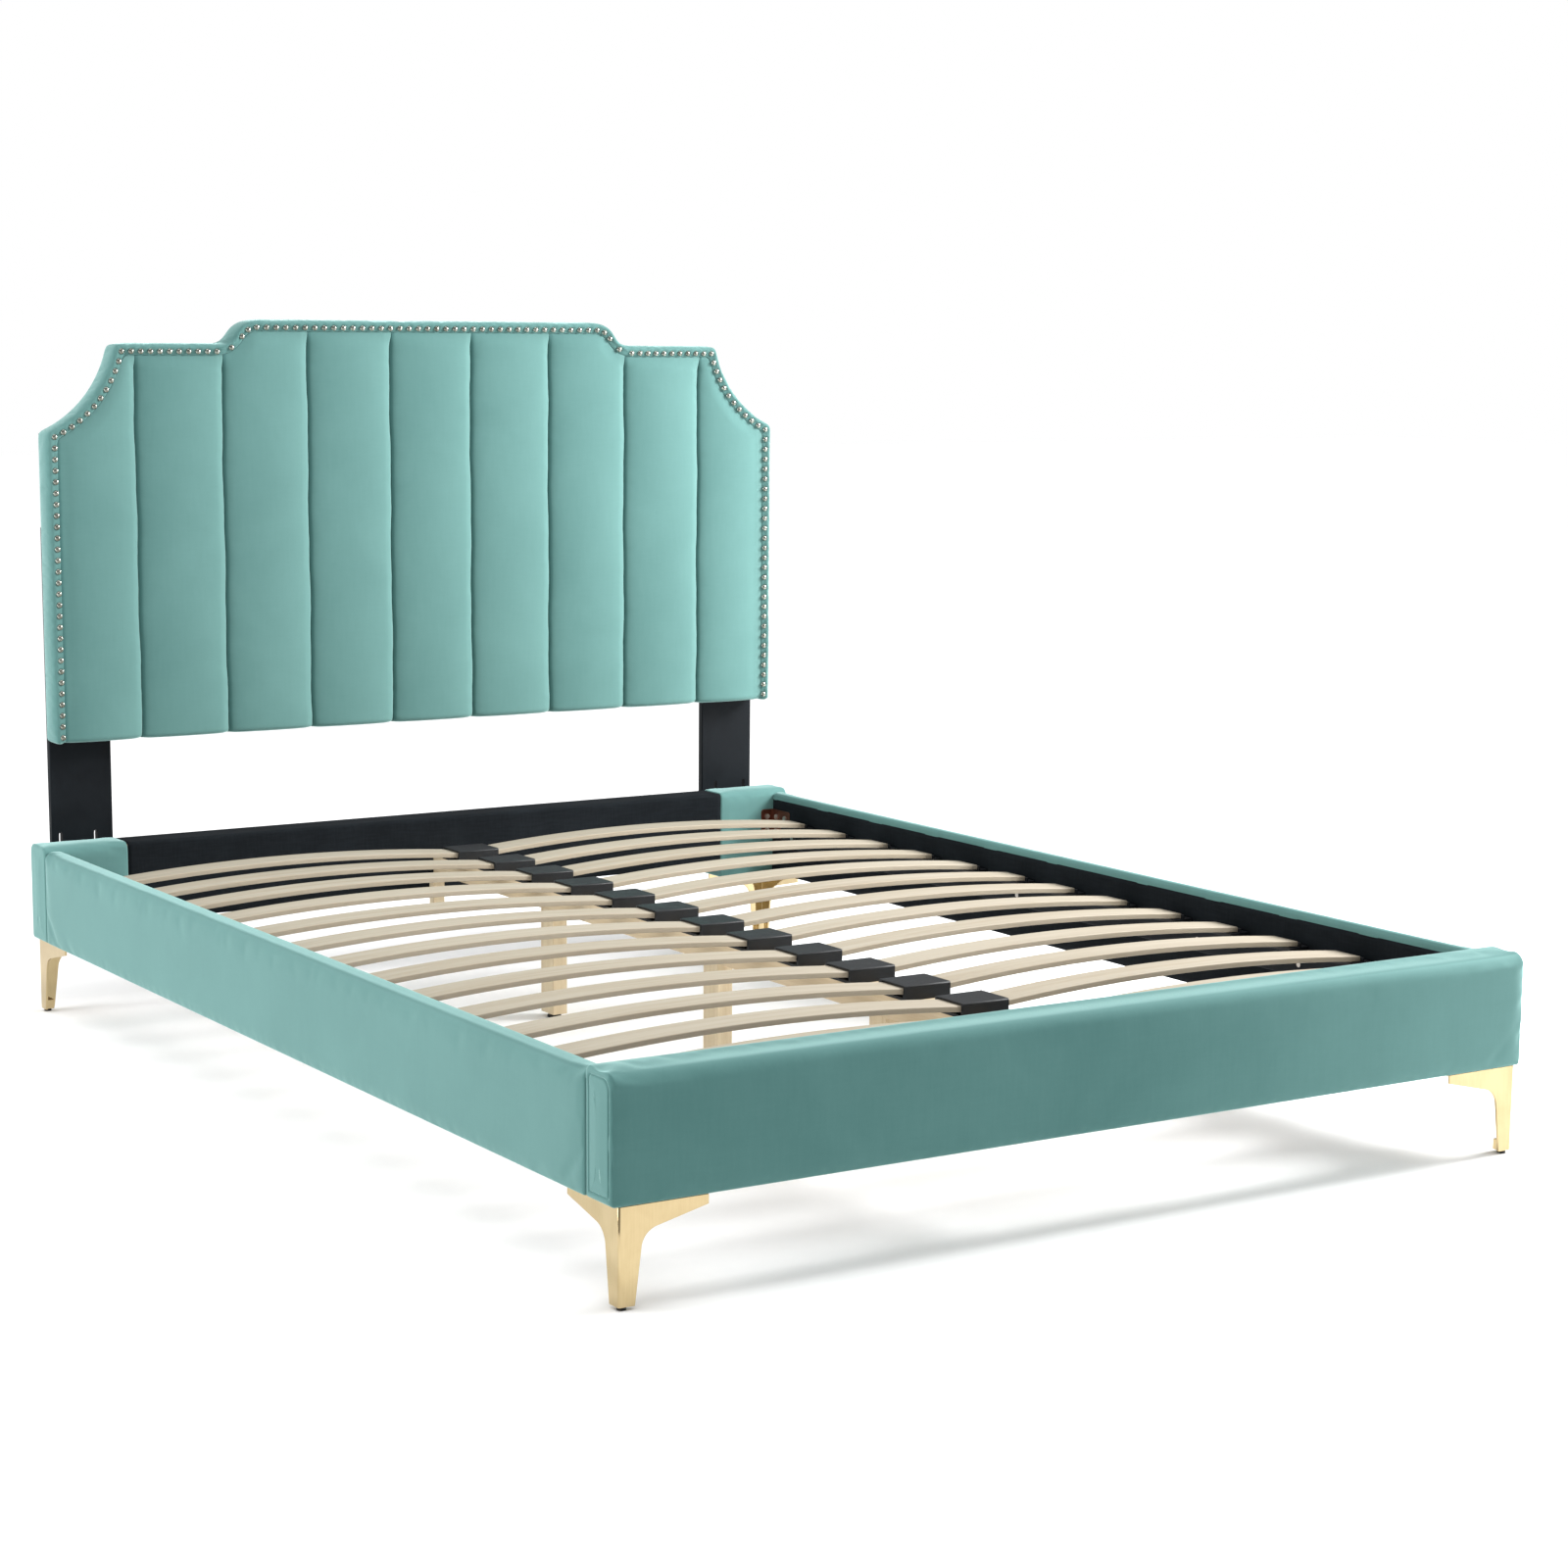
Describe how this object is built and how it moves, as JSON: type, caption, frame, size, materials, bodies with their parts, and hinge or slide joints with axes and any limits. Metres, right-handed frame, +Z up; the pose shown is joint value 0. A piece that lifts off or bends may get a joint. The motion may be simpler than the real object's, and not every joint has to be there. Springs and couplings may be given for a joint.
{
  "type": "upholstered headboard bed",
  "caption": "Queen bed with velvet rails, sprung slats on a centre beam, metal corner legs and a channel-tufted, nail-trimmed headboard whose height adjusts on slotted struts.",
  "frame": {"origin": "on the floor, under the middle of the bed's overall box", "axes": "+Z up, +Y along the bed from the foot rail to the headboard, +X to the right seen from the foot"},
  "size_m": [1.626, 2.202, 1.278],
  "materials": {
    "teal_velvet": "short-pile velvet",
    "black_lining": "non-woven lining",
    "nail_metal": "polished, antique nickel tone",
    "hidden_board": "raw plywood and pine",
    "black_board": "black satin lacquer",
    "zinc_steel": "zinc plated",
    "slat_wood": "laminated birch, bare",
    "frame_wood": "planed pine, bare",
    "black_plastic": "moulded, fine grain",
    "gold_metal": "polished gold plating"
  },
  "bodies": {
    "bed_frame": {"beam_cleats": "frame_wood", "centre_beam": "frame_wood", "centre_leg_1": "frame_wood", "centre_leg_2": "frame_wood", "centre_leg_3": "frame_wood", "centre_leg_bolts": "zinc_steel", "centre_slat_caps": "black_plastic", "corner_bolts": "zinc_steel", "corner_bracket_foot_left": "zinc_steel", "corner_bracket_foot_right": "zinc_steel", "corner_bracket_head_left": "zinc_steel", "corner_bracket_head_right": "zinc_steel", "corner_leg_foot_left": "gold_metal", "corner_leg_foot_right": "gold_metal", "corner_leg_glides": "black_plastic", "corner_leg_head_left": "gold_metal", "corner_leg_head_right": "gold_metal", "corner_leg_screws": "zinc_steel", "foot_rail_core": "hidden_board", "foot_rail_lining": "black_lining", "foot_rail_upholstery": "teal_velvet", "head_rail_core": "hidden_board", "head_rail_cover": "black_lining", "head_rail_sleeve_left": "teal_velvet", "head_rail_sleeve_right": "teal_velvet", "headboard_slot_bolts": "zinc_steel", "ledger_screws": "zinc_steel", "side_rail_core_left": "hidden_board", "side_rail_core_right": "hidden_board", "side_rail_lining_left": "black_lining", "side_rail_lining_right": "black_lining", "side_rail_upholstery_left": "teal_velvet", "side_rail_upholstery_right": "teal_velvet", "slat_end_holders_left": "black_plastic", "slat_end_holders_right": "black_plastic", "slat_ledger_left": "frame_wood", "slat_ledger_right": "frame_wood", "slats_left": "slat_wood", "slats_right": "slat_wood"},
    "headboard": {"headboard_border": "teal_velvet", "headboard_channel_1": "teal_velvet", "headboard_channel_2": "teal_velvet", "headboard_channel_3": "teal_velvet", "headboard_channel_4": "teal_velvet", "headboard_channel_5": "teal_velvet", "headboard_channel_6": "teal_velvet", "headboard_channel_7": "teal_velvet", "headboard_channel_8": "teal_velvet", "headboard_channel_9": "teal_velvet", "headboard_frame": "hidden_board", "headboard_panel": "hidden_board", "headboard_rear_cover": "black_lining", "headboard_strut_bolts": "zinc_steel", "headboard_strut_left": "black_board", "headboard_strut_right": "black_board", "nailhead_trim": "nail_metal"},
    "glide_1": {"levelling_glide_1": "black_plastic"},
    "glide_2": {"levelling_glide_2": "black_plastic"},
    "glide_3": {"levelling_glide_3": "black_plastic"}
  },
  "joints": [
    {"name": "headboard_height", "type": "slide", "parent": "bed_frame", "child": "headboard", "axis": [0, 0, 1], "range_m": [-0.07, 0.055]},
    {"name": "level_glide_1", "type": "slide", "parent": "bed_frame", "child": "glide_1", "axis": [0, 0, 1], "range_m": [-0.012, 0.003]},
    {"name": "level_glide_2", "type": "slide", "parent": "bed_frame", "child": "glide_2", "axis": [0, 0, 1], "range_m": [-0.012, 0.003]},
    {"name": "level_glide_3", "type": "slide", "parent": "bed_frame", "child": "glide_3", "axis": [0, 0, 1], "range_m": [-0.012, 0.003]}
  ]
}
